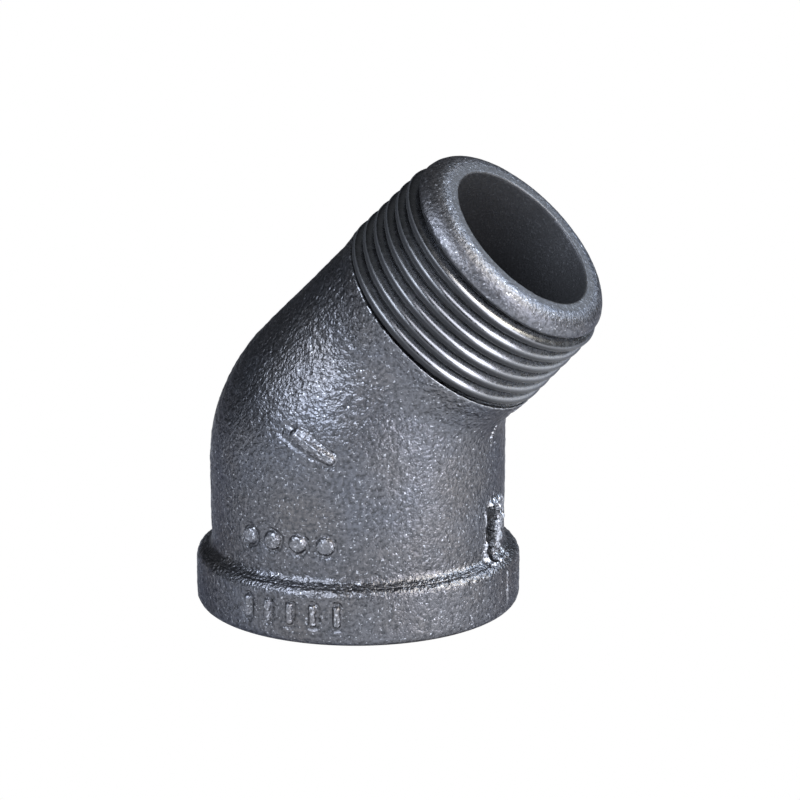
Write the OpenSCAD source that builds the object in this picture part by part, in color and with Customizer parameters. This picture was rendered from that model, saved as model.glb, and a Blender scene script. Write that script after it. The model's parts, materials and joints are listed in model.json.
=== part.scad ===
// Street elbow in malleable iron: a banded socket with an inside pipe thread at one end,
// and a spigot with an outside pipe thread at the other, turned through the bend angle.
// Origin: centre of the socket's face. +Z runs up the socket's axis into the elbow.
// The spigot leans towards +X, so the mould's parting plane is the plane y = 0.

/* [Socket end] */
// Outside diameter of the reinforcing band
band_d = 45.4; // [44:0.1:48]
// Height of the band above the socket's face
band_h = 8.2; // [7:0.1:9]
// Radius of the band's two rounded edges
band_edge_r = 1.4; // [0.5:0.1:2]
// Outside diameter of the cast wall above the band
wall_d = 41; // [40:0.1:43]
// Depth of the threaded part of the socket
socket_depth = 17; // [16.5:0.1:18]
// Inside diameter over the thread's crests, at the socket's mouth
socket_minor_d = 29.7; // [29.2:0.1:30.2]

/* [Bend] */
// Angle between the two pipe axes
bend_angle = 45; // [42:1:48]
// Height of the bend's centre above the socket's face
centre_h = 29; // [28:0.1:31]
// Radius along the back of the bend
back_r = 27.4; // [24:0.2:30]
// Radius in the throat of the bend
throat_r = 3.6; // [2.5:0.1:4.5]
// Diameter of the cored waterway behind the socket's thread
waterway_d = 28.4; // [26:0.1:28.6]

/* [Spigot end] */
// Distance from the bend's centre to the end of the nose
spigot_l = 35.7; // [35:0.1:38]
// Distance from the bend's centre to the thread's shoulder
shoulder_at = 19.15; // [18.5:0.05:20]
// Outside diameter over the thread's crests, at the shoulder
spigot_major_d = 33.1; // [32.6:0.1:33.6]
// Diameter of the cast shank between the bend and the thread
shank_d = 32.2; // [31:0.1:33]
// Length of the plain nose beyond the thread
nose_l = 3.1; // [3:0.05:3.5]
// Outside diameter of the nose
nose_d = 31.7; // [31:0.1:32]
// Radius of the dome from the nose's side to its end
nose_edge_r = 3; // [2:0.1:3.5]
// Diameter of the bore through the spigot
port_d = 22.5; // [21:0.1:24]

/* [Thread] */
// Threads per inch
threads_per_inch = 11.5; // [11:0.5:14]
// Width of the flat land on each crest
land_w = 0.25; // [0.15:0.05:0.4]

/* [Casting details] */
// Width of the raised fin left along the parting plane
fin_w = 0.9; // [0.5:0.1:1.5]
// How far the fin stands out of the skin
fin_proud = 0.3; // [0.2:0.05:0.6]
// How far the broken gate stands out of the wall
gate_proud = 0.7; // [0.4:0.1:1.2]
// How far the raised marks stand out of the skin
mark_proud = 0.4; // [0.2:0.05:0.6]

/* [Hidden] */
$fn = 96;

SKIN = "dimgray";
MACHINED = "darkslategray";
MARK = "slategray";

band_r = band_d / 2;
wall_r = wall_d / 2;
shank_r = shank_d / 2;
nose_r = nose_d / 2;
port_r = port_d / 2;
waterway_r = waterway_d / 2;
ball_extra = 0.4;

// Thread: 60 degree flanks on a cone of 1 in 16 on the diameter
pitch = 25.4 / threads_per_inch;
taper = 1 / 32;
tooth_h = (pitch / 2 - land_w) / tan(30);
mouth_chamfer = 1;
mouth_r = 17.2;
lining_r = 17.8;
socket_rings = floor((socket_depth - mouth_chamfer) / pitch);
thread_end = spigot_l - nose_l;
spigot_rings = floor((thread_end - shoulder_at) / pitch);

// The loft of the outside wall turns about a pivot in the throat
blend = wall_r - shank_r;
pivot_x = wall_r + throat_r;
pivot_z = centre_h + (pivot_x * cos(bend_angle) - shank_r - throat_r) / sin(bend_angle);
corner_z = centre_h + (shank_r - wall_r * cos(bend_angle)) / sin(bend_angle);
back_reach = back_r * tan(bend_angle / 2);
arc_x = back_r - wall_r;
arc_z = corner_z - back_reach;
straight_steps = 8;
bend_steps = 18;
shank_steps = 2;
loft_points = 64;

// Where the fins, the gate and the marks stand, and how deep they are seated into the casting
seat = 0.5;
mark_root = 2;
gate_w = 6.4;
gate_top = 17.5;
gate_turn = 3.5;
gate_slot_w = 2.8;
gate_slot_shift = -1.2;
gate_slot_depth = 0.9;
band_fin_turn = 3;
throat_fin_from = ceil((gate_top - band_h) / (pivot_z - band_h) * straight_steps);
bar_w = 1.3;
bar_l = 8;
bar_turn = -82;
bar_at = 27.4;
bar_slant = 28;
pip_r = 1.2;
pip_at = 13.6;
pip_turns = [-108, -97, -86, -75];
stroke_w = 0.9;
stroke_h = 3;
stroke_at = 4.4;
stroke_turns = [for (i = [0 : 4]) -104 + 8.5 * i];

// Crest radius of each thread at a distance along its axis
function spigot_crest(a) = spigot_major_d / 2 - (a - shoulder_at) * taper;
function socket_crest(a) = socket_minor_d / 2 - a * taper;

// Unit direction from the throat to the back, in the XZ plane, for a section leaning by turn
function across(turn) = [-cos(turn), sin(turn)];
// A point at distance a along the spigot's axis, and n towards the throat
function spigot_point(a, n) = [
    a * sin(bend_angle) + n * cos(bend_angle),
    centre_h + a * cos(bend_angle) - n * sin(bend_angle)
];
// Distance from the pivot to the back of the wall, for a section leaning by turn
function reach_upright(turn) = (pivot_x + wall_r) / cos(turn);
function reach_spigot(turn) = (2 * shank_r + throat_r) / cos(bend_angle - turn);
function reach_arc(turn) =
    let (w = [pivot_x - arc_x, pivot_z - arc_z], b = w * across(turn))
    sqrt(b * b - w * w + back_r * back_r) - b;
function height_upright(turn) = pivot_z + reach_upright(turn) * sin(turn);
function run_spigot(turn) =
    let (p = [pivot_x, pivot_z - centre_h] + reach_spigot(turn) * across(turn))
    p * [sin(bend_angle), cos(bend_angle)];
corner_run = [-wall_r, corner_z - centre_h] * [sin(bend_angle), cos(bend_angle)];
function back_distance(turn) =
    height_upright(turn) < arc_z ? reach_upright(turn)
    : run_spigot(turn) > corner_run + back_reach ? reach_spigot(turn)
    : reach_arc(turn);

// A station is [centre in XZ, lean, half size in XZ, half size along Y]
function smooth(t) = t * t * (3 - 2 * t);
function back_x(z) = z < arc_z ? -wall_r : arc_x - sqrt(back_r * back_r - pow(z - arc_z, 2));
function upright_station(z) = [[(wall_r + back_x(z)) / 2, z], 0, (wall_r - back_x(z)) / 2, wall_r];
function bend_station(turn) =
    let (far = back_distance(turn))
    [
        [pivot_x, pivot_z] + (far + throat_r) / 2 * across(turn),
        turn,
        (far - throat_r) / 2,
        wall_r - blend * smooth(turn / bend_angle)
    ];
function shank_station(a) = [spigot_point(a, 0), bend_angle, shank_r, shank_r];
shank_from = [pivot_x, pivot_z - centre_h] * [sin(bend_angle), cos(bend_angle)];
stations = concat(
    [for (i = [0 : straight_steps - 1]) upright_station(band_h + (pivot_z - band_h) * i / straight_steps)],
    [for (i = [0 : bend_steps]) bend_station(bend_angle * i / bend_steps)],
    [for (i = [1 : shank_steps]) shank_station(shank_from + (shoulder_at - shank_from) * i / shank_steps)]
);
function station_point(s, angle) =
    let (p = s[0] + s[2] * cos(angle) * across(s[1]))
    [p[0], s[3] * sin(angle), p[1]];
function edge_point(s, side, out) = s[0] + side * (s[2] + out) * across(s[1]);

// Moves its children from the origin onto the spigot's axis, measured from the bend's centre
module on_spigot() {
    translate([0, 0, centre_h]) rotate([0, bend_angle, 0]) children();
}

// The closed outside form of the wall, from the top of the band to the thread's shoulder
module wall_form() {
    n = loft_points;
    last = len(stations) - 1;
    points = [for (s = stations, j = [0 : n - 1]) station_point(s, 360 * j / n)];
    sides = [
        for (i = [0 : last - 1], j = [0 : n - 1], half = [0, 1])
            let (a = i * n + j, b = i * n + (j + 1) % n)
            half == 0 ? [a, a + n, b] : [b, a + n, b + n]
    ];
    foot = [for (j = [0 : n - 1]) j];
    head = [for (j = [n - 1 : -1 : 0]) last * n + j];
    polyhedron(points, concat(sides, [foot, head]));
}

// The cored passage: upright bore, ball at the bend's centre, and the spigot's bore
module waterway() {
    translate([0, 0, socket_depth - 1]) cylinder(r = waterway_r, h = centre_h - socket_depth + 1);
    translate([0, 0, centre_h]) sphere(r = waterway_r + ball_extra);
    on_spigot() cylinder(r = port_r, h = spigot_l + 1);
}

// A thin upright plate that follows one side of the wall in the parting plane
module fin_plate(side, first, last) {
    picked = [for (i = [first : last]) stations[i]];
    outer = [for (s = picked) edge_point(s, side, fin_proud)];
    inner = [for (i = [len(picked) - 1 : -1 : 0]) edge_point(picked[i], side, -seat)];
    rotate([90, 0, 0]) linear_extrude(height = fin_w, center = true) polygon(concat(outer, inner));
}

// The short fin across the band, on the side that x_side points to
module band_fin_plate(x_side) {
    w = fin_proud + seat;
    h = band_h - 2 * band_edge_r;
    turn = x_side > 0 ? band_fin_turn : 0;
    rotate([0, 0, turn]) translate([x_side * (band_r - seat + w / 2), 0, band_h / 2])
        cube([w, fin_w, h], center = true);
}

// Keeps the part of its children that lies between the seat and the proud face of a round wall
module on_round_wall(r, proud) {
    intersection() {
        children();
        difference() {
            cylinder(r = r + proud, h = centre_h * 2);
            translate([0, 0, -1]) cylinder(r = r - seat, h = centre_h * 2 + 2);
        }
    }
}

module gate_block() {
    on_round_wall(wall_r, gate_proud) rotate([0, 0, gate_turn])
        translate([wall_r - mark_root, -gate_w / 2, band_h]) cube([mark_root * 2, gate_w, gate_top - band_h]);
}

// Starts its children under the face of a round wall, with +Z pointing out of it
module facing(r, turn, height) {
    rotate([0, 0, turn]) translate([r - mark_root, 0, height]) rotate([0, 90, 0]) children();
}

module bar_solid() {
    on_round_wall(wall_r, mark_proud) facing(wall_r, bar_turn, bar_at) rotate([0, 0, 90 - bar_slant])
        translate([-bar_l / 2, -bar_w / 2, 0]) cube([bar_l, bar_w, mark_root * 2]);
}

module pip_solids() {
    on_round_wall(wall_r, mark_proud) for (turn = pip_turns) facing(wall_r, turn, pip_at)
        cylinder(r = pip_r, h = mark_root * 2);
}

module stroke_solids() {
    on_round_wall(band_r, mark_proud) for (turn = stroke_turns) facing(band_r, turn, stroke_at)
        translate([-stroke_h / 2, -stroke_w / 2, 0]) cube([stroke_h, stroke_w, mark_root * 2]);
}

// Cast wall of the bend with its waterway
module cast_body() {
    color(SKIN) difference() {
        wall_form();
        translate([0, 0, band_h - 1]) cylinder(r = lining_r, h = socket_depth - band_h + 1);
        waterway();
        fin_plate(-1, throat_fin_from, len(stations) - 1);
        fin_plate(1, 0, len(stations) - 1);
        gate_block();
        bar_solid();
        pip_solids();
    }
}

// Reinforcing band around the socket's mouth
module socket_band() {
    e = band_edge_r;
    color(SKIN) difference() {
        rotate_extrude() union() {
            translate([lining_r, 0]) square([band_r - e - lining_r, band_h]);
            translate([lining_r, e]) square([band_r - lining_r, band_h - 2 * e]);
            for (z = [e, band_h - e]) translate([band_r - e, z]) circle(r = e);
        }
        band_fin_plate(1);
        band_fin_plate(-1);
        stroke_solids();
    }
}

// Machined lining of the socket: mouth chamfer, then the inside thread as closed rings
module socket_thread() {
    rings = [
        for (i = [0 : socket_rings - 1])
            let (a = mouth_chamfer + (i + 0.5) * pitch, root = a - pitch / 2)
            each [
                [socket_crest(root) + tooth_h, root],
                [socket_crest(a), a - land_w / 2],
                [socket_crest(a), a + land_w / 2]
            ]
    ];
    ring_end = mouth_chamfer + socket_rings * pitch;
    relief_r = socket_crest(ring_end) + tooth_h;
    color(MACHINED) rotate_extrude() polygon(concat(
        [[lining_r, 0], [mouth_r, 0]],
        rings,
        [[relief_r, ring_end], [relief_r, socket_depth], [lining_r, socket_depth]]
    ));
}

// Threaded tube of the spigot, with the outside thread as closed rings
module male_thread() {
    ring_start = thread_end - spigot_rings * pitch;
    rings = [
        for (i = [0 : spigot_rings - 1])
            let (a = ring_start + (i + 0.5) * pitch, root = a - pitch / 2)
            each [
                [spigot_crest(root) - tooth_h, root],
                [spigot_crest(a), a - land_w / 2],
                [spigot_crest(a), a + land_w / 2]
            ]
    ];
    color(MACHINED) on_spigot() rotate_extrude() polygon(concat(
        [[port_r, shoulder_at], [spigot_crest(shoulder_at), shoulder_at]],
        rings,
        [[spigot_crest(thread_end) - tooth_h, thread_end], [port_r, thread_end]]
    ));
}

// Plain nose at the end of the spigot, domed over to a flat ring round the bore
module nose_ring() {
    root_r = spigot_crest(thread_end) - tooth_h;
    flank = (nose_r - root_r) * tan(30);
    dome_r = nose_r - nose_edge_r;
    color(SKIN) on_spigot() translate([0, 0, thread_end]) rotate_extrude() difference() {
        union() {
            translate([port_r, 0]) square([dome_r - port_r, nose_l]);
            intersection() {
                translate([dome_r, nose_l - nose_edge_r]) circle(r = nose_edge_r);
                translate([port_r, 0]) square([nose_r - port_r, nose_l]);
            }
        }
        polygon([[root_r, 0], [nose_r, flank], [nose_r, 0]]);
    }
}

// Fin on the throat side: along the wall above the gate, and across the band
module throat_fin() {
    color(SKIN) fin_plate(-1, throat_fin_from, len(stations) - 1);
    color(SKIN) band_fin_plate(1);
}

// Fin along the back of the bend, and across the band
module back_fin() {
    color(SKIN) fin_plate(1, 0, len(stations) - 1);
    color(SKIN) band_fin_plate(-1);
}

// Broken gate above the band, with the torn slot down its middle
module gate_stub() {
    slot_from = wall_r + gate_proud - gate_slot_depth;
    color(SKIN) difference() {
        gate_block();
        rotate([0, 0, gate_turn]) translate([slot_from, gate_slot_shift - gate_slot_w / 2, band_h - 1])
            cube([gate_slot_depth * 2, gate_slot_w, gate_top - band_h]);
    }
}

// Plain slanted raised bar on the wall
module size_bar() {
    color(MARK) bar_solid();
}

// Row of plain raised pips on the wall
module body_pips() {
    color(MARK) pip_solids();
}

// Row of plain upright strokes on the band
module band_strokes() {
    color(MARK) stroke_solids();
}

cast_body();
socket_band();
socket_thread();
male_thread();
nose_ring();
throat_fin();
back_fin();
gate_stub();
size_bar();
body_pips();
band_strokes();
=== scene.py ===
"""Looks of the street elbow: its cast skin, cut threads, fins, gate and marks, around the CAD frame."""
import json
import math

import bpy
import numpy as np
from mathutils import Matrix, Vector


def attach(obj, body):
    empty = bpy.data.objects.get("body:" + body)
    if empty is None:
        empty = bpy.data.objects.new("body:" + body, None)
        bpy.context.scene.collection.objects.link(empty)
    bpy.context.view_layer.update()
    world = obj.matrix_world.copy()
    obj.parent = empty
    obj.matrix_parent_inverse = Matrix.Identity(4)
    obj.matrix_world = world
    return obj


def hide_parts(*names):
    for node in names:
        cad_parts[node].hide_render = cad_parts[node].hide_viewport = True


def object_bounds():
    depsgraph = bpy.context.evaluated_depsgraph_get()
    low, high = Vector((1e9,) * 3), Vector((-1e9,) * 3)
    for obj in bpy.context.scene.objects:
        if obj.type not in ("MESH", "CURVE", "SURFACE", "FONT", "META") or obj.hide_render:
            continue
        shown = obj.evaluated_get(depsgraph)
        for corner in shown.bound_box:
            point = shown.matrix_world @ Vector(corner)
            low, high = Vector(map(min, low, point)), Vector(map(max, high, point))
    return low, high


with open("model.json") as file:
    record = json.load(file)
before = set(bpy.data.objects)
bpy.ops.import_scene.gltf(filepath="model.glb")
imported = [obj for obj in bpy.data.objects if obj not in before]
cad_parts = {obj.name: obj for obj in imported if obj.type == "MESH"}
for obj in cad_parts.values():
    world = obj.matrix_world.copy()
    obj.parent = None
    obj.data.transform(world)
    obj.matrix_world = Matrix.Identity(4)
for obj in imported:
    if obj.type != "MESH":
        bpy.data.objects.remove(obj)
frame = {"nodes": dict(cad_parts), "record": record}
cad_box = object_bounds()

MM = 0.001
UP = np.array([0.0, 0.0, 1.0])
ACROSS_Y = np.array([0.0, 1.0, 0.0])


# ---------------------------------------------------------------- sizes read from the frame, in mm

def node_points(name):
    """A CAD node's vertices, in mm."""
    mesh = frame["nodes"][name].data
    flat = np.zeros(len(mesh.vertices) * 3)
    mesh.vertices.foreach_get("co", flat)
    return flat.reshape(-1, 3) / MM


def record_mount(name):
    """One of the record's mounts."""
    return next(m for m in frame["record"]["mounts"] if m["name"] == name)


def mount(name):
    """Position in mm and unit axis of one of the record's mounts."""
    found = record_mount(name)
    axis = np.array(found["axis"], float)
    return np.array(found["pos_m"], float) / MM, axis / np.linalg.norm(axis)


def along_and_out(name):
    """How far a node's vertices lie along the spigot's axis from the bend's centre, and out from it."""
    rel = node_points(name) - BEND_CENTRE
    along = rel @ SPIGOT_AXIS
    out = np.linalg.norm(rel - along[:, None] * SPIGOT_AXIS, axis=1)
    return along, out


# The threads' standard: 11.5 turns an inch, and 1 in 16 on the diameter
PITCH = 25.4 / 11.5
TAPER = 1 / 32

SPIGOT_MOUNT, SPIGOT_AXIS = mount("male_thread")
CENTRE_H = SPIGOT_MOUNT[2] - SPIGOT_MOUNT[0] * SPIGOT_AXIS[2] / SPIGOT_AXIS[0]
BEND_CENTRE = CENTRE_H * UP
BEND_ANGLE = math.atan2(SPIGOT_AXIS[0], SPIGOT_AXIS[2])
TO_THROAT = np.array([math.cos(BEND_ANGLE), 0.0, -math.sin(BEND_ANGLE)])

BAND_R = node_points("socket_band")[:, 1].max()
BAND_H = node_points("socket_band")[:, 2].max()
LINING_R = node_points("socket_thread")[:, 0].max()
SOCKET_DEPTH = node_points("socket_thread")[:, 2].max()
SOCKET_CREST_R = record_mount("female_thread")["dims"]["r_mm"] + mount("female_thread")[0][2] * TAPER
WALL_R = node_points("cast_body")[:, 1].max()

thread_along, thread_out = along_and_out("male_thread")
SHOULDER_AT = thread_along.min()
THREAD_END = thread_along.max()
SPIGOT_CREST_R = thread_out.max()
PORT_R = thread_out.min()
SPIGOT_L = along_and_out("nose_ring")[0].max()
body_along, body_out = along_and_out("cast_body")
SHANK_R = body_out[body_along > SHOULDER_AT - 0.01].max()

# Sizes that the frame doesn't state: the thread's depth, and radii of the casting
TOOTH_H = 1.2
BACK_R = 27.4
THROAT_R = 3.6
NOSE_R = 15.7
BAND_EDGE_R = 1.5
WATERWAY_R = 14.2
MOUTH_R = 17.2

PIVOT_X = WALL_R + THROAT_R
PIVOT_Z = CENTRE_H + (PIVOT_X * math.cos(BEND_ANGLE) - SHANK_R - THROAT_R) / math.sin(BEND_ANGLE)
SHANK_FROM = PIVOT_X * math.sin(BEND_ANGLE) + (PIVOT_Z - CENTRE_H) * math.cos(BEND_ANGLE)

# The wall is laid out along one run: height up the socket, then arc through the bend, then along the shank
BEND_RUN = PIVOT_X * BEND_ANGLE
RUN_END = PIVOT_Z + BEND_RUN + SHOULDER_AT - SHANK_FROM


# ---------------------------------------------------------------- noise

HASH_STEPS = (374761393, 668265263, 1440662683, 974634777)
HASH_MIX = 1274126177
LOW_32_BITS = 0xFFFFFFFF
NOISE_TURN = np.array(
    Matrix.Rotation(0.7, 3, "X") @ Matrix.Rotation(0.5, 3, "Y") @ Matrix.Rotation(0.3, 3, "Z")
)

# Height in mm and lattice size in mm of each layer of the cast skin: slow waves, then sand grain
SKIN_LAYERS = ((0.07, 6.0), (0.025, 1.7), (0.05, 0.85), (0.045, 0.5))


def lattice(ix, iy, iz, seed):
    """A repeatable value from -1 to 1 for each lattice point."""
    mixed = sum(value * step for value, step in zip((ix, iy, iz, seed), HASH_STEPS)) & LOW_32_BITS
    mixed = ((mixed ^ (mixed >> 13)) * HASH_MIX) & LOW_32_BITS
    return ((mixed ^ (mixed >> 16)) & 0xFFFF) / 32767.5 - 1.0


def noise(points, cell, seed):
    """Smooth value noise from -1 to 1, with one lattice point each cell mm."""
    turned = points @ NOISE_TURN / cell
    base = np.floor(turned).astype(np.int64)
    part = turned - base
    part = part * part * (3 - 2 * part)
    total = np.zeros(len(points))
    for corner in np.ndindex(2, 2, 2):
        near = np.abs(1 - np.array(corner) - part)
        total += near[:, 0] * near[:, 1] * near[:, 2] * lattice(*(base + corner).T, seed)
    return total


def skin_relief(points):
    """Height of the cast skin above its smooth form, in mm."""
    flat = points.reshape(-1, 3)
    layers = [high * noise(flat, cell, seed) for seed, (high, cell) in enumerate(SKIN_LAYERS, 1)]
    return sum(layers).reshape(points.shape[:-1])


def smoothstep(low, high, value):
    """0 below low, 1 above high, smooth between."""
    t = np.clip((value - low) / (high - low), 0, 1)
    return t * t * (3 - 2 * t)


# ---------------------------------------------------------------- meshes

def grid_faces(rows, cols, wrap_rows, wrap_cols):
    """Quads of a grid of rows by cols points, joined round where asked."""
    i, j = np.meshgrid(
        np.arange(rows if wrap_rows else rows - 1),
        np.arange(cols if wrap_cols else cols - 1),
        indexing="ij",
    )
    i2 = (i + 1) % rows
    j2 = (j + 1) % cols
    quads = np.stack([i * cols + j, i * cols + j2, i2 * cols + j2, i2 * cols + j], -1)
    return quads.reshape(-1, 4)


def volume(points, quads):
    """Signed volume of a closed quad mesh."""
    a, b, c, d = (points[quads[:, k]] for k in range(4))
    return (np.einsum("ij,ij->i", a, np.cross(b, c)) + np.einsum("ij,ij->i", a, np.cross(c, d))).sum() / 6


SHARP_FROM = math.radians(60)


def make_piece(name, points, quads, nodes, material, values=None):
    """Builds one closed piece from points in mm, with its material, and stands it for its CAD nodes."""
    if volume(points, quads) < 0:
        quads = quads[:, ::-1]
    mesh = bpy.data.meshes.new(name)
    mesh.vertices.add(len(points))
    mesh.vertices.foreach_set("co", (points * MM).astype(np.float32).ravel())
    mesh.loops.add(quads.size)
    mesh.loops.foreach_set("vertex_index", quads.astype(np.int32).ravel())
    mesh.polygons.add(len(quads))
    mesh.polygons.foreach_set("loop_start", np.arange(0, quads.size, 4, dtype=np.int32))
    mesh.update(calc_edges=True)
    mesh.validate()
    mesh.shade_smooth()
    mesh.set_sharp_from_angle(angle=SHARP_FROM)
    for key, data in (values or {}).items():
        layer = mesh.attributes.new(key, "FLOAT", "POINT")
        layer.data.foreach_set("value", data.astype(np.float32).ravel())
    mesh.materials.append(material)
    piece = bpy.data.objects.new(name, mesh)
    bpy.context.scene.collection.objects.link(piece)
    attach(piece, "root")
    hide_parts(*nodes)


def ring_piece(name, rings, nodes, material, values=None):
    """A closed piece from rings of points: each ring closes on itself, and the last joins the first."""
    rows, cols = rings.shape[:2]
    quads = grid_faces(rows, cols, True, True)
    make_piece(name, rings.reshape(-1, 3), quads, nodes, material, values)


def slab_mesh(top, foot):
    """Points and quads of a closed slab between two grids of the same size."""
    rows, cols = top.shape[:2]
    upper = grid_faces(rows, cols, False, False)
    lower = upper[:, ::-1] + rows * cols
    rim = np.concatenate([
        np.arange(cols),
        np.arange(1, rows) * cols + cols - 1,
        (rows - 1) * cols + np.arange(cols - 2, -1, -1),
        np.arange(rows - 2, 0, -1) * cols,
    ])
    after = np.roll(rim, -1)
    sides = np.stack([after, rim, rim + rows * cols, after + rows * cols], -1)
    return np.concatenate([top.reshape(-1, 3), foot.reshape(-1, 3)]), np.concatenate([upper, lower, sides])


def slab_piece(name, slabs, nodes, material, values=None):
    """One piece from one or more closed slabs, each a (top grid, foot grid) pair."""
    points, quads, count = [], [], 0
    for top, foot in slabs:
        p, q = slab_mesh(top, foot)
        if volume(p, q) < 0:
            q = q[:, ::-1]
        points.append(p)
        quads.append(q + count)
        count += len(p)
    make_piece(name, np.concatenate(points), np.concatenate(quads), nodes, material, values)


def grid_normals(points, wrap_cols):
    """Unit normals of a grid of points, from its neighbours along rows and columns."""
    down = np.gradient(points, axis=0)
    if wrap_cols:
        over = np.roll(points, -1, 1) - np.roll(points, 1, 1)
    else:
        over = np.gradient(points, axis=1)
    normal = np.cross(over, down)
    return normal / np.maximum(np.linalg.norm(normal, axis=-1, keepdims=True), 1e-9)


def turned_out(normal, outward):
    """The normals, each turned to the side that outward points to."""
    return normal * np.sign((normal * outward).sum(-1, keepdims=True))


# ---------------------------------------------------------------- form of the wall

# The back runs upright, then along an arc of BACK_R from ARC_Z, then along the spigot
CORNER_Z = CENTRE_H + (SHANK_R - WALL_R * math.cos(BEND_ANGLE)) / math.sin(BEND_ANGLE)
CORNER_RUN = -WALL_R * math.sin(BEND_ANGLE) + (CORNER_Z - CENTRE_H) * math.cos(BEND_ANGLE)
BACK_REACH = BACK_R * math.tan(BEND_ANGLE / 2)
ARC_X = BACK_R - WALL_R
ARC_Z = CORNER_Z - BACK_REACH


def back_distance(turn):
    """Distance from the throat's pivot to the smooth back, for sections that lean by turn."""
    upright = (PIVOT_X + WALL_R) / np.cos(turn)
    spigot = (2 * SHANK_R + THROAT_R) / np.cos(BEND_ANGLE - turn)
    to_arc = np.array([PIVOT_X - ARC_X, PIVOT_Z - ARC_Z])
    b = -to_arc[0] * np.cos(turn) + to_arc[1] * np.sin(turn)
    arc = np.sqrt(np.maximum(b * b - to_arc @ to_arc + BACK_R ** 2, 0)) - b
    spigot_x = PIVOT_X - spigot * np.cos(turn)
    spigot_z = PIVOT_Z - CENTRE_H + spigot * np.sin(turn)
    run = spigot_x * math.sin(BEND_ANGLE) + spigot_z * math.cos(BEND_ANGLE)
    on_upright = PIVOT_Z + upright * np.sin(turn) < ARC_Z
    on_spigot = run > CORNER_RUN + BACK_REACH
    return np.where(on_upright, upright, np.where(on_spigot, spigot, arc))


def stations(run):
    """Centre (x, z), lean, half size in the XZ plane and half size along Y along the wall's run."""
    turn = np.clip((run - PIVOT_Z) / BEND_RUN, 0, 1) * BEND_ANGLE
    far = back_distance(turn)
    mid = (far + THROAT_R) / 2
    x = PIVOT_X - mid * np.cos(turn)
    z = PIVOT_Z + mid * np.sin(turn)
    half = (far - THROAT_R) / 2
    share = turn / BEND_ANGLE
    wide = WALL_R + (SHANK_R - WALL_R) * share * share * (3 - 2 * share)
    above_arc = np.clip(run - ARC_Z, 0, PIVOT_Z - ARC_Z)
    back_x = ARC_X - np.sqrt(BACK_R ** 2 - above_arc ** 2)
    upright = run < PIVOT_Z
    half = np.where(upright, (WALL_R - back_x) / 2, half)
    after = np.maximum(run - PIVOT_Z - BEND_RUN, 0)
    x = np.where(upright, (WALL_R + back_x) / 2, x) + after * math.sin(BEND_ANGLE)
    z = np.where(upright, run, z) + after * math.cos(BEND_ANGLE)
    return x, z, turn, half, wide


def wall_points(run, angle, grow):
    """Points on the wall's smooth form, grown by grow mm. Angle 0 is the throat, 90 degrees is +Y."""
    x, z, turn, half, wide = stations(run)
    reach = (half + grow) * np.cos(angle)
    return np.stack([
        x + reach * np.cos(turn),
        (wide + grow) * np.sin(angle),
        z - reach * np.sin(turn),
    ], -1)


FOOT_FILLET = 1.3
BELLY = 0.12
LIP = 0.35
LIP_RUN = 3.0


def wall_growth(run):
    """Slow changes of the wall's size: fillet onto the band, slight belly, and lip at the thread."""
    height = np.clip(run - BAND_H, 0, FOOT_FILLET)
    fillet = FOOT_FILLET - np.sqrt(FOOT_FILLET ** 2 - (FOOT_FILLET - height) ** 2)
    fillet = np.where(run < BAND_H, FOOT_FILLET, fillet)
    share = np.clip((run - BAND_H) / (PIVOT_Z + BEND_RUN - BAND_H), 0, 1)
    belly = BELLY * np.sin(share * math.pi)
    lip = LIP * smoothstep(RUN_END - LIP_RUN, RUN_END, run)
    return fillet + belly + lip


def wall_skin(run, angle, wrap):
    """Finished wall surface with its relief, and its outward normals, for a grid of runs by angles."""
    smooth = wall_points(run, angle, wall_growth(run))
    x, z = stations(run)[:2]
    normal = turned_out(grid_normals(smooth, wrap), smooth - np.stack([x, 0 * run, z], -1))
    return smooth + normal * (skin_relief(smooth) - wall_moat(smooth))[..., None], normal


def run_of(angle, height):
    """The run at which the wall at these angles reaches these heights."""
    x = WALL_R * np.cos(angle)
    turn = np.maximum(height - PIVOT_Z, 0) / (PIVOT_X - x)
    for _ in range(4):
        point = wall_points(PIVOT_Z + turn / BEND_ANGLE * BEND_RUN, angle, 0)
        turn = turn + (height - point[..., 2]) / (PIVOT_X - point[..., 0])
        turn = np.clip(turn, 0, BEND_ANGLE)
    return np.where(height < PIVOT_Z, height, PIVOT_Z + turn / BEND_ANGLE * BEND_RUN)


# ---------------------------------------------------------------- form of the gate and marks

def angle_range(name):
    """Lowest and highest angle of a node about the socket's axis, and its lowest and highest height."""
    points = node_points(name)
    turns = np.arctan2(points[:, 1], points[:, 0])
    return turns.min(), turns.max(), points[:, 2].min(), points[:, 2].max()


GATE_LOW, GATE_HIGH, GATE_FOOT, GATE_TOP = angle_range("gate_stub")
GATE_TURN = (GATE_LOW + GATE_HIGH) / 2
GATE_HALF = WALL_R * (GATE_HIGH - GATE_LOW) / 2
GATE_TALL = GATE_TOP - GATE_FOOT
GATE_CORNER = 2.2
GATE_PROUD = 0.6
GATE_CAP = 1.6
SLOT_AT = -1.3
SLOT_HALF = 0.85
SLOT_WIDENING = 0.55
SLOT_DEPTH = 1.3


def gate_edge(angle, height):
    """Distance in mm outside the sides and the top of the gate's outline, negative inside it."""
    return np.maximum(WALL_R * np.abs(angle - GATE_TURN) - GATE_HALF, height - GATE_TOP)


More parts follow.
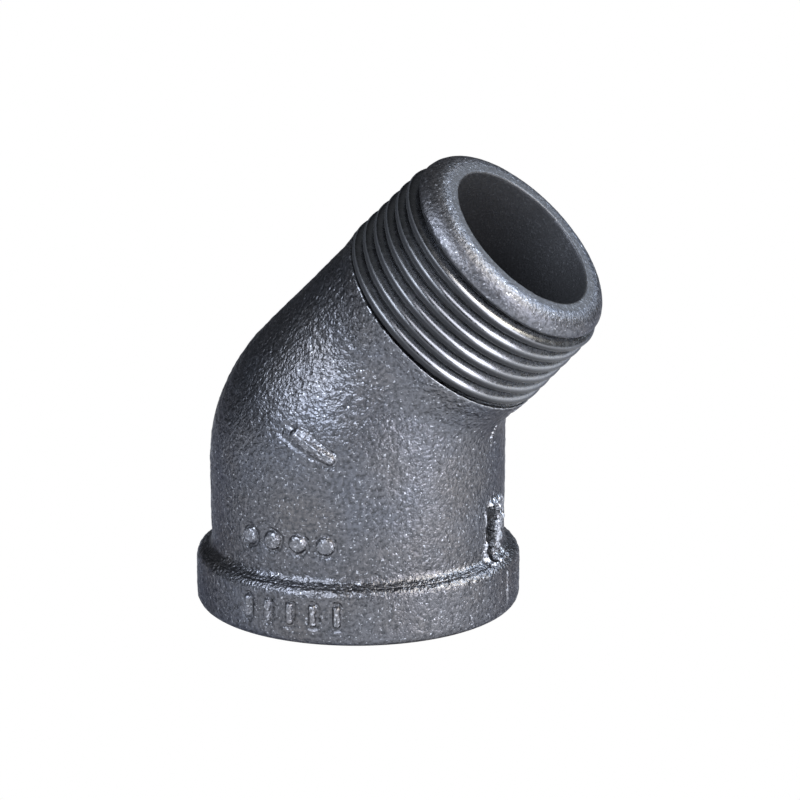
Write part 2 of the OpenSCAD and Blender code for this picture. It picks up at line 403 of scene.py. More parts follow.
def gate_height(angle, height):
    """Height of the torn gate above the wall, where its deep slot is, and where its lips are bare.

    Coarse noise bends the outlines, and ragged noise tears the surface.
    """
    across = WALL_R * (angle - GATE_TURN)
    above = height - GATE_FOOT
    places = np.stack([across, 0 * across, height], -1).reshape(-1, 3)
    ragged = noise(places, 0.7, 11).reshape(across.shape)
    coarse = noise(places, 2.0, 12).reshape(across.shape)

    inside = -box_distance(across, above, GATE_HALF, GATE_TALL, GATE_CORNER) - 0.05 - 0.5 * coarse
    lips = GATE_PROUD * smoothstep(0, 0.9, inside) * (0.85 + 0.6 * ragged + 0.35 * coarse)
    lips = lips * (0.4 + 0.6 * smoothstep(0, 2, above))
    bare = smoothstep(0, 0.5, inside) * np.clip(0.75 + 0.7 * ragged, 0, 1)

    slot_half = SLOT_HALF + SLOT_WIDENING * above / GATE_TALL + 0.25 * coarse
    from_slot = np.abs(across - SLOT_AT - 0.3 * coarse) - slot_half + 0.25 * ragged
    slot = 1 - smoothstep(-0.2, 0.25, from_slot)
    slot = slot * smoothstep(0, 0.5, GATE_TOP - GATE_CAP - height + 0.4 * coarse)
    slot = slot * smoothstep(-0.2, 0.6, above)
    return lips * (1 - slot) - slot * (SLOT_DEPTH + 0.12 * ragged), slot, bare * (1 - slot)


def box_distance(u, v, half_u, half_v, corner):
    """Distance in mm outside a rounded rectangle, negative inside it."""
    du = np.abs(u) - half_u + corner
    dv = np.abs(v) - half_v + corner
    return np.hypot(np.maximum(du, 0), np.maximum(dv, 0)) + np.minimum(np.maximum(du, dv), 0) - corner


MARK_PROUD = 0.45
MARK_SINK = 0.14
MOAT_DEPTH = 0.2


def raised(distance, proud, edge):
    """Height of a raised mark with soft sides, sinking just under the skin outside its outline."""
    return (proud + MARK_SINK) * (1 - smoothstep(-edge, edge, distance)) - MARK_SINK


def moat(distance):
    """Depth of the sunk border that surrounds a cast mark."""
    return MOAT_DEPTH * smoothstep(-0.1, 0.25, distance) * (1 - smoothstep(0.3, 0.8, distance))


BAR_PROUD = 0.6
BAR_HALF_W = 0.65
BAR_CORNER = 0.6
BAR_SOFTNESS = 0.6
PIP_SOFTNESS = 0.45
STROKE_HALF_W = 0.45
STROKE_CORNER = 0.4
STROKE_SOFTNESS = 0.4
MARK_BORDER = 0.6

# The bar's slant and length come from its node's box, less what the bar's own width adds to it
BAR_LOW, BAR_HIGH, BAR_FOOT, BAR_HEAD = angle_range("size_bar")
BAR_TURN = (BAR_LOW + BAR_HIGH) / 2
BAR_Z = (BAR_FOOT + BAR_HEAD) / 2
BAR_BOX = (WALL_R * (BAR_HIGH - BAR_LOW), BAR_HEAD - BAR_FOOT)
BAR_HALF_L = math.hypot(*BAR_BOX) / 2 - 0.5
BAR_SLANT = math.atan2(BAR_BOX[1] - 1.1, BAR_BOX[0] - 0.6)

PIP_COUNT = 4
PIP_LOW, PIP_HIGH, PIP_FOOT, PIP_HEAD = angle_range("body_pips")
PIP_R = (PIP_HEAD - PIP_FOOT) / 2
PIP_Z = (PIP_HEAD + PIP_FOOT) / 2
PIP_TURNS = np.linspace(PIP_LOW + PIP_R / WALL_R, PIP_HIGH - PIP_R / WALL_R, PIP_COUNT)

STROKE_COUNT = 5
STROKE_LOW, STROKE_HIGH, STROKE_FOOT, STROKE_HEAD = angle_range("band_strokes")
STROKE_HALF_L = (STROKE_HEAD - STROKE_FOOT) / 2
STROKE_Z = (STROKE_HEAD + STROKE_FOOT) / 2
STROKE_INSET = STROKE_HALF_W / BAND_R
STROKE_TURNS = np.linspace(STROKE_LOW + STROKE_INSET, STROKE_HIGH - STROKE_INSET, STROKE_COUNT)


def bar_distance(angle, height):
    """Distance outside the bar's outline on the wall."""
    u = WALL_R * (angle - BAR_TURN)
    v = height - BAR_Z
    along = u * math.cos(BAR_SLANT) - v * math.sin(BAR_SLANT)
    over = u * math.sin(BAR_SLANT) + v * math.cos(BAR_SLANT)
    return box_distance(along, over, BAR_HALF_L, BAR_HALF_W, BAR_CORNER)


def pip_distance(angle, height):
    """Distance outside the nearest pip's outline on the wall."""
    from_pips = [np.hypot(WALL_R * (angle - turn), height - PIP_Z) for turn in PIP_TURNS]
    return np.min(from_pips, axis=0) - PIP_R


def stroke_distance(angle, height):
    """Distance outside the nearest stroke's outline on the band."""
    return np.min([
        box_distance(BAND_R * (angle - turn), height - STROKE_Z, STROKE_HALF_W, STROKE_HALF_L, STROKE_CORNER)
        for turn in STROKE_TURNS
    ], axis=0)


def wall_moat(points):
    """Depth of the sunk borders round the wall's marks, at points on the wall."""
    angle = np.arctan2(points[..., 1], points[..., 0])
    return moat(np.minimum(bar_distance(angle, points[..., 2]), pip_distance(angle, points[..., 2])))


def band_moat(points):
    """Depth of the sunk borders round the band's strokes, at points on the band."""
    return moat(stroke_distance(np.arctan2(points[..., 1], points[..., 0]), points[..., 2]))


# ---------------------------------------------------------------- materials

def node_adder(tree):
    """A helper that adds nodes to a tree, with attributes and inputs set by name."""
    tree.nodes.clear()

    def add(kind, **settings):
        node = tree.nodes.new(kind)
        for key, value in settings.items():
            if hasattr(node, key):
                setattr(node, key, value)
            else:
                node.inputs[key.replace("_", " ")].default_value = value
        return node

    return add


def shader(name):
    """A new material with an empty node tree: returns the material, its tree and its node adder."""
    material = bpy.data.materials.new(name)
    material.use_nodes = True
    return material, material.node_tree, node_adder(material.node_tree)


def output_mix(tree, add, factor, first, second, kind="ShaderNodeOutputMaterial"):
    """Blends two shaders by a factor socket into the tree's output."""
    both = add("ShaderNodeMixShader")
    for source, target in zip((factor, first, second), both.inputs):
        tree.links.new(source, target)
    tree.links.new(both.outputs["Shader"], add(kind).inputs["Surface"])


def noise_node(tree, add, coords, scale, detail=2.0, roughness=0.5):
    """Noise texture over the piece's own coordinates, scale in cells per mm."""
    node = add("ShaderNodeTexNoise", Scale=scale / MM, Detail=detail, Roughness=roughness)
    tree.links.new(coords, node.inputs["Vector"])
    return node.outputs["Fac"]


def ramp_node(tree, add, source, stops):
    """Colour ramp with (position, colour) stops."""
    node = add("ShaderNodeValToRGB")
    ramp = node.color_ramp
    while len(ramp.elements) < len(stops):
        ramp.elements.new(0.5)
    for element, (position, colour) in zip(ramp.elements, stops):
        element.position = position
        element.color = (*colour, 1)
    tree.links.new(source, node.inputs["Fac"])
    return node.outputs["Color"]


def map_node(tree, add, source, low, high, to_low, to_high):
    """Clamped linear map of one value range to another."""
    node = add("ShaderNodeMapRange")
    for key, value in (("From Min", low), ("From Max", high), ("To Min", to_low), ("To Max", to_high)):
        node.inputs[key].default_value = value
    tree.links.new(source, node.inputs["Value"])
    return node.outputs["Result"]


def mix_colour(tree, add, factor, first, second):
    """Blends two colours by a factor socket."""
    node = add("ShaderNodeMix", data_type="RGBA")
    tree.links.new(factor, node.inputs["Factor"])
    for key, value in ((6, first), (7, second)):
        if isinstance(value, tuple):
            node.inputs[key].default_value = (*value, 1)
        else:
            tree.links.new(value, node.inputs[key])
    return node.outputs[2]


def bump_node(tree, add, height, strength, distance, under=None):
    """Normal with a bump of distance mm from a height socket, over another normal if one is given."""
    node = add("ShaderNodeBump", Strength=strength, Distance=distance * MM)
    tree.links.new(height, node.inputs["Height"])
    if under is not None:
        tree.links.new(under, node.inputs["Normal"])
    return node.outputs["Normal"]


def metal_node(tree, add, colour, rough, normal):
    """Metal whose edges seen at a slant reflect only as much as EDGE_TINT."""
    node = add("ShaderNodeBsdfPrincipled", Metallic=1.0, Specular_Tint=EDGE_TINT)
    for key, source in (("Base Color", colour), ("Roughness", rough), ("Normal", normal)):
        tree.links.new(source, node.inputs[key])
    return node


COOL_SKIN = (0.092, 0.096, 0.109)
WARM_SKIN = (0.098, 0.095, 0.097)
DARK_SKIN = (0.05, 0.051, 0.055)
# The cut metal's dark colour is painted shade on the thread roots, the gate's slot and the bore. Its bright
# colour is bare cut metal, and a painted highlight on the thread flanks.
CUT_PAINTED_SHADE = (0.011, 0.0115, 0.0125)
CUT_BARE_AND_HIGHLIGHT = (0.25, 0.255, 0.267)
BARE = (0.36, 0.37, 0.4)
EDGE_TINT = (0.36, 0.36, 0.38, 1)
# Flecks on the skin grow with the painted light value, so painted highlights carry more of them
FLECKS_BY_PAINTED_LIGHT = 0.3


def cast_surface(tree, add, coords, bare_and_painted_light, wear, shine, relief, rough):
    """Cast skin: cool and warm patches, dark pits between sand grains, and flecks of bare metal, with more
    of them where the piece's painted light value is high.
    """
    grain = noise_node(tree, add, coords, 2.0, 1.0, 0.6)
    fine = noise_node(tree, add, coords, 3.2, 1.0, 0.6)
    patches = noise_node(tree, add, coords, 0.09, 3.0, 0.55)
    flecks = noise_node(tree, add, coords, 2.4, 1.0, 0.7)

    cool, warm, dark = (tuple(v * shine for v in c) for c in (COOL_SKIN, WARM_SKIN, DARK_SKIN))
    colour = ramp_node(tree, add, patches, [(0.35, cool), (0.65, warm)])
    pits = map_node(tree, add, grain, 0.3, 0.62, 0.0, 1.0)
    colour = mix_colour(tree, add, pits, dark, colour)
    # Flecks of bare metal, with more of them where the piece's painted light value paints a highlight
    flecks_and_painted_light = add("ShaderNodeMath", operation="MULTIPLY_ADD")
    tree.links.new(bare_and_painted_light, flecks_and_painted_light.inputs[0])
    flecks_and_painted_light.inputs[1].default_value = FLECKS_BY_PAINTED_LIGHT
    tree.links.new(flecks, flecks_and_painted_light.inputs[2])
    bare = map_node(tree, add, flecks_and_painted_light.outputs[0], 0.64 - wear, 0.76 - wear, 0.0, 0.8)
    colour = mix_colour(tree, add, bare, colour, BARE)

    dull = map_node(tree, add, fine, 0.3, 0.7, 0.32 + rough, 0.47 + rough)
    normal = bump_node(tree, add, grain, 1.0, 0.16 * relief)
    normal = bump_node(tree, add, fine, 0.6, 0.05 * relief, normal)
    return metal_node(tree, add, colour, dull, normal).outputs["BSDF"]


def cut_surface(tree, add, coords, bare_and_painted_light):
    """Cut metal with painted light: black and dull as painted shade where the piece's painted light value is
    0, and bright and polished where it is 1, as bare cut metal and as a painted highlight.
    """
    scratches = noise_node(tree, add, coords, 1.1, 4.0, 0.7)
    colour = mix_colour(tree, add, bare_and_painted_light, CUT_PAINTED_SHADE, CUT_BARE_AND_HIGHLIGHT)
    metal = map_node(tree, add, bare_and_painted_light, 0.0, 0.3, 0.0, 1.0)
    polished = map_node(tree, add, scratches, 0.3, 0.7, 0.2, 0.34)
    blend = add("ShaderNodeMix", data_type="FLOAT")
    tree.links.new(metal, blend.inputs["Factor"])
    blend.inputs[2].default_value = 0.55
    tree.links.new(polished, blend.inputs[3])
    rough = blend.outputs[0]
    node = metal_node(tree, add, colour, rough, bump_node(tree, add, scratches, 0.06, 0.03))
    node.inputs["Specular IOR Level"].default_value = 0.25
    tree.links.new(metal, node.inputs["Metallic"])
    return node.outputs["BSDF"]


def iron_material(name, wear=0.0, shine=1.0, relief=1.0, rough=0.0):
    """Black iron: cast skin, and cut metal where the piece's cut value is 1. The cut metal's dark painted
    shade also darkens the gate's slot and the bore.

    Wear adds bare bright metal, shine makes the cast skin paler, relief deepens its grain,
    and rough dulls it. The piece's value of bare metal and painted light brightens the cut metal, both as
    bare metal and as a painted highlight. It leaves the metal painted shade where it is 0, and adds flecks
    to the skin.
    """
    material, tree, add = shader(name)
    coords = add("ShaderNodeTexCoord").outputs["Object"]
    bare_and_painted_light = add("ShaderNodeAttribute", attribute_name="bare_and_painted_light").outputs["Fac"]
    cut = add("ShaderNodeAttribute", attribute_name="cut").outputs["Fac"]
    cast_metal = cast_surface(tree, add, coords, bare_and_painted_light, wear, shine, relief, rough)
    cut_metal = cut_surface(tree, add, coords, bare_and_painted_light)
    output_mix(tree, add, cut, cast_metal, cut_metal)
    return material


# ---------------------------------------------------------------- pieces

ROUND_STEPS = 640
TURNS = np.arange(ROUND_STEPS) * 2 * math.pi / ROUND_STEPS
SIGNED_TURNS = (TURNS + math.pi) % (2 * math.pi) - math.pi


def revolve(profile):
    """Rings about the socket's axis from (radius, height) pairs. A radius may vary round its ring."""
    return np.stack([
        np.stack([r * np.cos(TURNS), r * np.sin(TURNS), z + 0 * TURNS], -1) for r, z in profile
    ])


def arc(centre, radius, start, end, steps):
    """Points of an arc in the (radius, height) plane, from start to end degrees."""
    turns = np.radians(np.linspace(start, end, steps))
    return [(centre[0] + radius * math.cos(a), centre[1] + radius * math.sin(a)) for a in turns]


def dense(profile, step):
    """The same outline with points at most step mm apart."""
    filled = []
    for (r0, z0), (r1, z1) in zip(profile, profile[1:]):
        count = max(1, math.ceil(math.hypot(r1 - r0, z1 - z0) / step))
        filled += [(r0 + (r1 - r0) * k / count, z0 + (z1 - z0) * k / count) for k in range(count)]
    return filled + [profile[-1]]


BODY_FOOT = BAND_H - 0.4
POCKET_DEPTH = 1.9
POCKET_BORDER = 0.4
END_FACE_R = 14.4


def body_outside():
    """Rings of the wall's outside with its relief and the gate's pocket, and where it was scraped."""
    runs = np.concatenate([
        np.linspace(BODY_FOOT, PIVOT_Z, 84)[:-1],
        np.linspace(PIVOT_Z, PIVOT_Z + BEND_RUN, 124)[:-1],
        np.linspace(PIVOT_Z + BEND_RUN, RUN_END, 26),
    ])
    run, angle = np.meshgrid(runs, TURNS, indexing="ij")
    outside, normal = wall_skin(run, angle, True)
    pocket = 1 - smoothstep(-POCKET_BORDER, 0, gate_edge(SIGNED_TURNS, run))
    outside -= normal * (POCKET_DEPTH * pocket)[..., None]
    ragged = 0.08 * noise(outside.reshape(-1, 3), 0.7, 41).reshape(run.shape)
    return outside, 0.5 * smoothstep(RUN_END - 0.25, RUN_END - 0.1, run + ragged)


def body_inside():
    """Rings of the cored waterway, from the spigot's bore down to the socket's thread."""
    share = np.linspace(1, 0, 60)[:, None]
    x, z, turn = stations(SOCKET_DEPTH + (RUN_END - SOCKET_DEPTH) * share)[:3]
    bore = PORT_R + (WATERWAY_R - PORT_R) * (1 - smoothstep(0.35, 0.9, share))
    reach = bore * np.cos(TURNS)
    return np.stack([x + reach * np.cos(turn), bore * np.sin(TURNS), z - reach * np.sin(turn)], -1)


def build_body(material):
    """Wall of the bend. Its lip at the thread was scraped by the cutter, and its end face was cut."""
    outside, scraped = body_outside()
    lip_r = SHANK_R + LIP
    face_out = [lip_r - 0.12, lip_r - 0.5, END_FACE_R]
    face_along = [SHOULDER_AT + 0.1, SHOULDER_AT + 0.05, SHOULDER_AT - 0.3]
    face = spigot_rings(face_along, face_out)
    foot = revolve([(LINING_R, SOCKET_DEPTH), (LINING_R, BODY_FOOT)])
    rings = np.concatenate([outside, face, body_inside(), foot])
    cut = np.zeros(rings.shape[:2])
    cut[:len(outside)] = scraped
    cut[len(outside):len(outside) + 2] = 1
    values = {"bare_and_painted_light": cut, "cut": cut}
    ring_piece("cast_body_skin", rings, ["cast_body"], material, values)


def spigot_rings(along, out):
    """Rings about the spigot's axis at distances along it, with radii that may vary round each ring."""
    rings = []
    for a, r in zip(along, out):
        centre = BEND_CENTRE + a * SPIGOT_AXIS
        r = np.broadcast_to(r, TURNS.shape)
        rings.append(centre + np.outer(r * np.cos(TURNS), TO_THROAT) + np.outer(r * np.sin(TURNS), ACROSS_Y))
    return np.stack(rings)


def build_band(material):
    """Reinforcing band: cast outside with rounded edges, and a flat turned face below."""
    e = BAND_EDGE_R
    top_in = WALL_R + FOOT_FILLET - 0.15
    shown = [(BAND_R - e, 0.0)]
    shown += arc((BAND_R - e, e), e, -90, 0, 16)[1:]
    shown += arc((BAND_R - e, BAND_H - e), e, 0, 78, 14)
    shown += [(top_in, BAND_H - 0.12), (top_in - 0.6, BAND_H - 0.2)]
    shown = dense(shown, 0.2)
    rings = revolve(shown)
    outward = rings * np.array([0.2, 0.2, 1]) - np.array([0, 0, BAND_H / 2])
    normal = turned_out(grid_normals(rings, True), outward)
    fade = smoothstep(0.1, 1.2, rings[..., 2])
    rings = rings + normal * (skin_relief(rings) * fade - band_moat(rings))[..., None]
    hidden = revolve([(LINING_R, BAND_H - 0.3), (LINING_R, 0.0)])
    rings = np.concatenate([rings, hidden])
    ring_piece("socket_band_skin", rings, ["socket_band"], material)


GROOVE_SHARPNESS = 2.1
LAST_GROOVE_AT = THREAD_END - 0.26
RUN_OUT_FROM = math.radians(5)
RUN_OUT_TO = math.radians(80)
DOME_R = 3.0
# The bore mostly takes the cut metal's dark colour as painted shade, and a little painted light lifts it
BORE_PAINTED_LIGHT = 0.14
BORE_PAINTED_SHADE = 0.75


def groove_depth(phase):
    """Depth of the cut thread, from 1 at its root at whole turns to 0 at its crest between them."""
    from_crest = np.abs(2 * (phase - np.floor(phase)) - 1)
    return from_crest ** GROOVE_SHARPNESS


def nose_radius(along):
    """Radius of the nose: a domed edge from its side to the flat ring round the bore."""
    over = np.clip(along - SPIGOT_L + DOME_R, 0, DOME_R)
    return NOSE_R - DOME_R + np.sqrt(DOME_R ** 2 - over ** 2)


def spigot_surface(along, angle):
    """Radius of the spigot's outside, the painted light on its cut metal, and where it was cut.

    The crests and the roots are painted dark as shade, and a painted highlight lies low on the flanks that
    face the nose, with a weaker one low on the other flanks. The last groove and its crest run out on the
    hidden side.
    """
    turn = (angle - math.pi / 2) % (2 * math.pi) - 1.5 * math.pi
    past = (along - LAST_GROOVE_AT) / PITCH - (turn + math.pi / 2) / (2 * math.pi)
    depth = np.where(past > 0.5, 0.0, groove_depth(past))
    run_out = smoothstep(RUN_OUT_FROM, RUN_OUT_TO, turn)
    depth = np.where(past > -0.5, depth * (1 - run_out), depth)
    ended = past + run_out
    crest = SPIGOT_CREST_R - (along - SHOULDER_AT) * TAPER
    crest = crest + (nose_radius(along) - crest) * smoothstep(-0.4, 0.1, ended)
    cut = 1 - smoothstep(0.3, 0.42, ended)
    # Painted light across each groove: a highlight low on one flank, a weaker one on the other, and painted
    # shade on the crests and at the roots
    flank = 2 * (past - np.floor(past)) - 1
    bright = smoothstep(0.0, 0.8, flank) + 0.6 * smoothstep(0.45, 0.9, -flank)
    bright = bright * (1 - smoothstep(0.83, 0.95, np.abs(flank)))
    return crest - TOOTH_H * depth, bright * cut, cut


def with_bore(bare_and_painted_light, cut, bore):
    """The outside's mesh values, followed by those of the smooth bore's rings, which are painted dark as
    shade and lifted a little by painted light.
    """
    plain = np.ones(bore.shape[:2])
    return {
        "bare_and_painted_light": np.concatenate([bare_and_painted_light, plain * BORE_PAINTED_LIGHT]),
        "cut": np.concatenate([cut, plain * BORE_PAINTED_SHADE]),
    }


def build_male_thread(material):
    """Outside thread of the spigot, a true right-hand helix on its taper, with the bore inside."""
    along = np.linspace(SHOULDER_AT, THREAD_END, 196)
    a, angle = np.meshgrid(along, SIGNED_TURNS, indexing="ij")
    out, bare_and_painted_light, cut = spigot_surface(a, angle)
    flat = spigot_rings(along, out).reshape(-1, 3)
    waves = (0.008 * noise(flat, 0.5, 21) + 0.02 * noise(flat, 2.5, 22)).reshape(out.shape)
    outside = spigot_rings(along, out + waves)
    bore = spigot_rings(np.linspace(THREAD_END, SHOULDER_AT, 12), np.full(12, PORT_R))
    rings = np.concatenate([outside, bore])
    values = with_bore(bare_and_painted_light, cut, bore)
    ring_piece("male_thread_cut", rings, ["male_thread"], material, values)


def nose_inside():
    """Rings of the nose's flat end, the bore's small chamfer, and the bore back to the thread."""
    edge = 0.2
    ends = [(r, SPIGOT_L) for r in np.linspace(NOSE_R - DOME_R, PORT_R + edge, 8)[1:]]
    ends += [(PORT_R + edge * 0.3, SPIGOT_L - edge * 0.3), (PORT_R, SPIGOT_L - edge)]
    ends += [(PORT_R, along) for along in np.linspace(SPIGOT_L - edge, THREAD_END, 9)[1:]]
    return spigot_rings([along for out, along in ends], [out for out, along in ends])


def build_nose(material):
    """Plain nose of the spigot, domed over to a flat ring round the bore's sharp edge."""
    start = math.asin(1 - (SPIGOT_L - THREAD_END) / DOME_R)
    along = SPIGOT_L - DOME_R + DOME_R * np.sin(np.linspace(start, math.pi / 2, 34))
    a, angle = np.meshgrid(along, SIGNED_TURNS, indexing="ij")
    out, bare_and_painted_light, cut = spigot_surface(a, angle)
    inside = nose_inside()
    smooth = np.concatenate([spigot_rings(along, out), inside])

    ring_centre = BEND_CENTRE + SPIGOT_AXIS * (THREAD_END + SPIGOT_L) / 2
    rel = smooth - ring_centre
    flat = rel - (rel @ SPIGOT_AXIS)[..., None] * SPIGOT_AXIS
    core = ring_centre + flat / np.linalg.norm(flat, axis=-1, keepdims=True) * (PORT_R + NOSE_R) / 2
    normal = turned_out(grid_normals(smooth, True), smooth - core)

    # The relief is weak on the dome, fades out at the thread, and is faint in the bore
    fade = np.full(len(smooth), 0.35)
    fade[:3] = (0, 0.12, 0.24)
    fade[-9:] = 0.15
    fade[-1] = 0
    rings = smooth + normal * (skin_relief(smooth) * fade[:, None])[..., None]
    values = with_bore(bare_and_painted_light, cut, inside)
    ring_piece("nose_ring_skin", rings, ["nose_ring"], material, values)


def build_socket_thread(material):
    """Inside thread of the socket, a right-hand helix on its taper, behind a mouth chamfer."""
    up = np.linspace(0, SOCKET_DEPTH, 200)
    z, angle = np.meshgrid(up, SIGNED_TURNS, indexing="ij")
    crest = SOCKET_CREST_R - z * TAPER
    depth = groove_depth(z / PITCH - angle / (2 * math.pi))
    chamfer = MOUTH_R - z
    inner = np.maximum(crest + TOOTH_H * depth, chamfer)
    at_end = z > SOCKET_DEPTH - 0.8
    inner = np.where(at_end, np.maximum(inner, crest + TOOTH_H * 0.9), inner)
    outer = revolve([(LINING_R, SOCKET_DEPTH), (LINING_R, 0.0)])
    plain = np.ones(outer.shape[:2])
    # Painted light on the socket's thread: its crests bright, and its roots and the mouth chamfer painted
    # dark as shade
    values = {
        "bare_and_painted_light": np.concatenate([(1 - depth) * (inner > chamfer + 0.01), 0 * plain]),
        "cut": np.concatenate([np.ones(depth.shape), plain]),
    }
    rings = np.concatenate([revolve(zip(inner, up)), outer])
    ring_piece("socket_thread_cut", rings, ["socket_thread"], material, values)


# How far the slabs of the raised details reach down into the casting
WALL_SINK = 1.6
BAND_SINK = 1.2
GATE_SINK = 2.4
FIN_HALF_W = 0.6
FIN_COLUMNS = 15
FIN_STEP = 0.18
BAND_FIN_TURN = math.radians(3)


def wall_patch(run, angle, height):
    """Top and foot grids of a slab that lies on the wall, with its top raised by height."""
    top, normal = wall_skin(run, angle, False)
    return top + normal * height[..., None], top - normal * WALL_SINK


def band_patch(angle, up, height):
    """Top and foot grids of a slab that lies on the band's upright face."""
    smooth = np.stack([BAND_R * np.cos(angle), BAND_R * np.sin(angle), up], -1)
    normal = np.stack([np.cos(angle), np.sin(angle), 0 * up], -1)
    top = smooth + normal * (skin_relief(smooth) - band_moat(smooth))[..., None]
    return top + normal * height[..., None], top - normal * BAND_SINK


def fin_height(across, along, seed):
    """Height of the thin, broken fin at the parting plane."""
    places = np.stack([across * 0, along, across * 0 + seed], -1).reshape(-1, 3)
    broken = noise(places, 1.3, seed).reshape(across.shape)
    slow = noise(places, 4.0, seed + 1).reshape(across.shape)
    proud = 0.1 + 0.24 * broken + 0.12 * slow
    ridge = 1 - smoothstep(0.0, 0.5, np.abs(across + 0.08 * slow))
    return (np.maximum(proud, 0.0) + 0.1) * ridge - 0.1


def wall_fin(centre, first, last, seed):
    """Slab of the fin along the wall, on the side of the wall at angle centre."""
    runs = np.linspace(first, last, int((last - first) / FIN_STEP))
    across = np.linspace(-FIN_HALF_W, FIN_HALF_W, FIN_COLUMNS)
    run, side = np.meshgrid(runs, across, indexing="ij")
    wide = stations(run)[4]
    return wall_patch(run, centre + side / wide, fin_height(side, run, seed))


def band_fin(centre, seed):
    """Slab of the fin across the band, on the side of the band at angle centre."""
    up = np.linspace(BAND_EDGE_R, BAND_H - BAND_EDGE_R, 32)
    across = np.linspace(-FIN_HALF_W, FIN_HALF_W, FIN_COLUMNS)
    z, side = np.meshgrid(up, across, indexing="ij")
    return band_patch(centre + side / BAND_R, z, fin_height(side, z, seed))


def build_fins(material):
    """The fins on the throat side and along the back, each on the wall and across the band."""
    top = RUN_END - 0.5
    throat = [wall_fin(0.0, GATE_TOP - 0.6, top, 31), band_fin(BAND_FIN_TURN, 33)]
    back = [wall_fin(math.pi, BAND_H + FOOT_FILLET, top, 35), band_fin(math.pi, 37)]
    slab_piece("throat_fin_ridge", throat, ["throat_fin"], material)
    slab_piece("back_fin_ridge", back, ["back_fin"], material)


def build_gate(material):
    """Torn gate in its pocket above the band."""
    margin = 0.45
    turns = np.linspace(GATE_LOW - margin / WALL_R, GATE_HIGH + margin / WALL_R, 72)
    runs = np.linspace(BAND_H - 0.3, GATE_TOP + margin, 90)
    run, angle = np.meshgrid(runs, turns, indexing="ij")
    height, slot, bare = gate_height(angle, run)
    height = height - 0.12 * smoothstep(0.0, margin, gate_edge(angle, run))
    top, normal = wall_skin(run, angle, False)
    slab = (top + normal * height[..., None], top - normal * GATE_SINK)
    foot = np.zeros(slot.size)
    # The slot takes the cut metal's painted shade, dark as a hollow in shadow. The lips are bare torn metal.
    values = {"cut": np.append(0.85 * slot, foot), "bare_and_painted_light": np.append(bare, foot)}
    slab_piece("gate_stub_torn", [slab], ["gate_stub"], material, values)


def build_size_bar(material):
    """Plain slanted raised bar on the wall."""
    reach = np.linspace(-BAR_HALF_L - 1, BAR_HALF_L + 1, 84)
    u, v = np.meshgrid(reach, reach, indexing="ij")
    angle = BAR_TURN + u / WALL_R
    height = raised(bar_distance(angle, BAR_Z + v), BAR_PROUD, BAR_SOFTNESS)
    slab = wall_patch(run_of(angle, BAR_Z + v), angle, height)
    slab_piece("size_bar_raised", [slab], ["size_bar"], material)


def build_pips(material):
    """Row of plain raised pips on the wall."""
    reach = np.linspace(-PIP_R - MARK_BORDER, PIP_R + MARK_BORDER, 32)
    u, v = np.meshgrid(reach, reach, indexing="ij")
    height = raised(np.hypot(u, v) - PIP_R, MARK_PROUD, PIP_SOFTNESS)
    slabs = [wall_patch(PIP_Z + v, turn + u / WALL_R, height) for turn in PIP_TURNS]
    slab_piece("body_pips_raised", slabs, ["body_pips"], material)


def build_strokes(material):
    """Row of plain upright strokes on the band."""
    u, v = np.meshgrid(
        np.linspace(-STROKE_HALF_W - MARK_BORDER, STROKE_HALF_W + MARK_BORDER, 26),
        np.linspace(-STROKE_HALF_L - MARK_BORDER, STROKE_HALF_L + MARK_BORDER, 44),
        indexing="ij",
    )
    distance = box_distance(u, v, STROKE_HALF_W, STROKE_HALF_L, STROKE_CORNER)
    height = raised(distance, MARK_PROUD, STROKE_SOFTNESS)
    slabs = [band_patch(turn + u / BAND_R, STROKE_Z + v, height) for turn in STROKE_TURNS]
    slab_piece("band_strokes_raised", slabs, ["band_strokes"], material)


skin = iron_material("cast_iron_skin", 0.0, 1.0, 1.2)
spigot = iron_material("cut_iron_spigot", 0.02, 1.3, 0.6)
torn = iron_material("torn_iron", 0.0, 1.0, 1.2)
build_body(skin)
build_band(skin)
build_male_thread(spigot)
build_nose(iron_material("nose_iron", 0.0, 1.0, 0.6, 0.07))
build_socket_thread(spigot)
build_fins(iron_material("fin_iron", 0.12, 1.2))
build_gate(torn)
marks = iron_material("mark_iron", 0.08, 1.4)
build_size_bar(marks)
build_pips(marks)
build_strokes(marks)


# ---------------------------------------------------------------- stage, light and camera

FLOOR_HALF = 4.0


def build_floor():
    """Plain white floor under the part: the camera sees it evenly lit, as a studio's bright table."""
    mesh = bpy.data.meshes.new("floor")
    corners = [(FLOOR_HALF * x, FLOOR_HALF * y, 0) for x, y in ((-1, -1), (1, -1), (1, 1), (-1, 1))]
    mesh.from_pydata(corners, [], [(0, 1, 2, 3)])
    floor = bpy.data.objects.new("floor", mesh)
    bpy.context.scene.collection.objects.link(floor)
    material, tree, add = shader("pale_floor")
    surface = add("ShaderNodeBsdfDiffuse", Color=(0.8, 0.8, 0.8, 1))
    glow = add("ShaderNodeEmission", Strength=1.0)
    seen = add("ShaderNodeLightPath").outputs["Is Camera Ray"]
    output_mix(tree, add, seen, surface.outputs["BSDF"], glow.outputs["Emission"])
    mesh.materials.append(material)


def look_at(obj, place, target):
    """Places an object and points its -Z at a target, both in mm."""
    direction = Vector(target) - Vector(place)
    obj.location = Vector(place) * MM
    obj.rotation_mode = "QUATERNION"
    obj.rotation_quaternion = direction.to_track_quat("-Z", "Y")


def bearing(azimuth, elevation):
    """Unit vector towards a place at these degrees round the part and above it."""
    a, e = math.radians(azimuth), math.radians(elevation)
    return math.sin(a) * math.cos(e), -math.cos(a) * math.cos(e), math.sin(e)


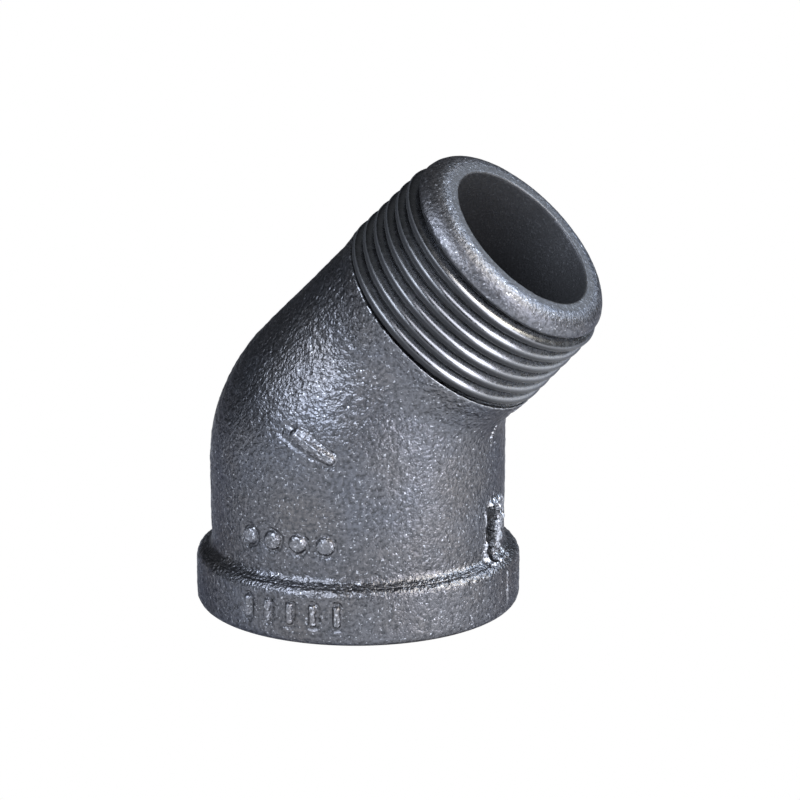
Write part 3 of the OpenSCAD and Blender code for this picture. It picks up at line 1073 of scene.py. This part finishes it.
def around(azimuth, elevation, distance):
    """A place in mm at a bearing and distance from the part's middle. Azimuth 0 is in front, at -Y."""
    middle = (np.array(cad_box[0]) + np.array(cad_box[1])) / 2 / MM
    return middle + distance * np.array(bearing(azimuth, elevation))


SOFTBOX_SIZE = 220
SOFTBOX_DISTANCE = 420
COOL_LIGHT = (0.9, 0.97, 1.1)
BLUE_LIGHT = (0.82, 0.98, 1.2)
WARM_LIGHT = (1.12, 1.03, 0.85)
PLAIN_LIGHT = (0.96, 0.97, 1.07)

# Name, azimuth and elevation in degrees, strength in watts, and tint of each softbox
SOFTBOXES = (
    ("high_front", -3, 38, 2.0, COOL_LIGHT),
    ("high_left", -33, 38, 1.45, COOL_LIGHT),
    ("high_right", 72, 38, 0.9, PLAIN_LIGHT),
    ("high_side", 102, 38, 1.95, WARM_LIGHT),
    ("high_back", 132, 38, 1.85, BLUE_LIGHT),
    ("low_right", 77, 8, 1.6, PLAIN_LIGHT),
)


def softbox(name, azimuth, elevation, strength, colour):
    """Square area light aimed at the middle of the part."""
    data = bpy.data.lights.new(name, "AREA")
    data.size = SOFTBOX_SIZE * MM
    data.energy = strength
    data.color = colour
    lamp = bpy.data.objects.new(name, data)
    bpy.context.scene.collection.objects.link(lamp)
    look_at(lamp, around(azimuth, elevation, SOFTBOX_DISTANCE), around(0, 0, 0))


def build_light():
    """White surroundings for the camera, dim ones for the metal, and the softboxes."""
    world = bpy.data.worlds.new("studio")
    bpy.context.scene.world = world
    world.use_nodes = True
    tree = world.node_tree
    add = node_adder(tree)
    shown = add("ShaderNodeBackground", Color=(1, 1, 1, 1))
    lit = add("ShaderNodeBackground", Color=(0.9, 0.95, 1, 1), Strength=0.11)
    seen = add("ShaderNodeLightPath").outputs["Is Camera Ray"]
    output_mix(tree, add, seen, lit.outputs[0], shown.outputs[0], "ShaderNodeOutputWorld")
    for settings in SOFTBOXES:
        softbox(*settings)


CAMERA_AZIMUTH = 26.8
CAMERA_ELEVATION = 14.8
CAMERA_ROLL = -0.15
CAMERA_DISTANCE = 466.0
CAMERA_LENS = 148.2
CAMERA_AIM_ACROSS = 5.95
CAMERA_AIM_UP = 27.75


def build_camera():
    """Camera in front, to the right and a little above. Its aim is in mm across and up its picture."""
    back = Vector(bearing(CAMERA_AZIMUTH, CAMERA_ELEVATION))
    right = Vector((math.cos(math.radians(CAMERA_AZIMUTH)), math.sin(math.radians(CAMERA_AZIMUTH)), 0))
    up = back.cross(right)
    place = right * CAMERA_AIM_ACROSS + up * CAMERA_AIM_UP + back * CAMERA_DISTANCE
    turn = Matrix((right, up, back)).transposed() @ Matrix.Rotation(math.radians(CAMERA_ROLL), 3, "Z")
    data = bpy.data.cameras.new("camera")
    data.lens = CAMERA_LENS
    data.sensor_width = 36
    data.clip_start = 0.01
    camera = bpy.data.objects.new("camera", data)
    camera.matrix_world = Matrix.Translation(place * MM) @ turn.to_4x4()
    bpy.context.scene.collection.objects.link(camera)
    bpy.context.scene.camera = camera


build_floor()
build_light()
build_camera()
bpy.context.scene.view_settings.view_transform = "Standard"
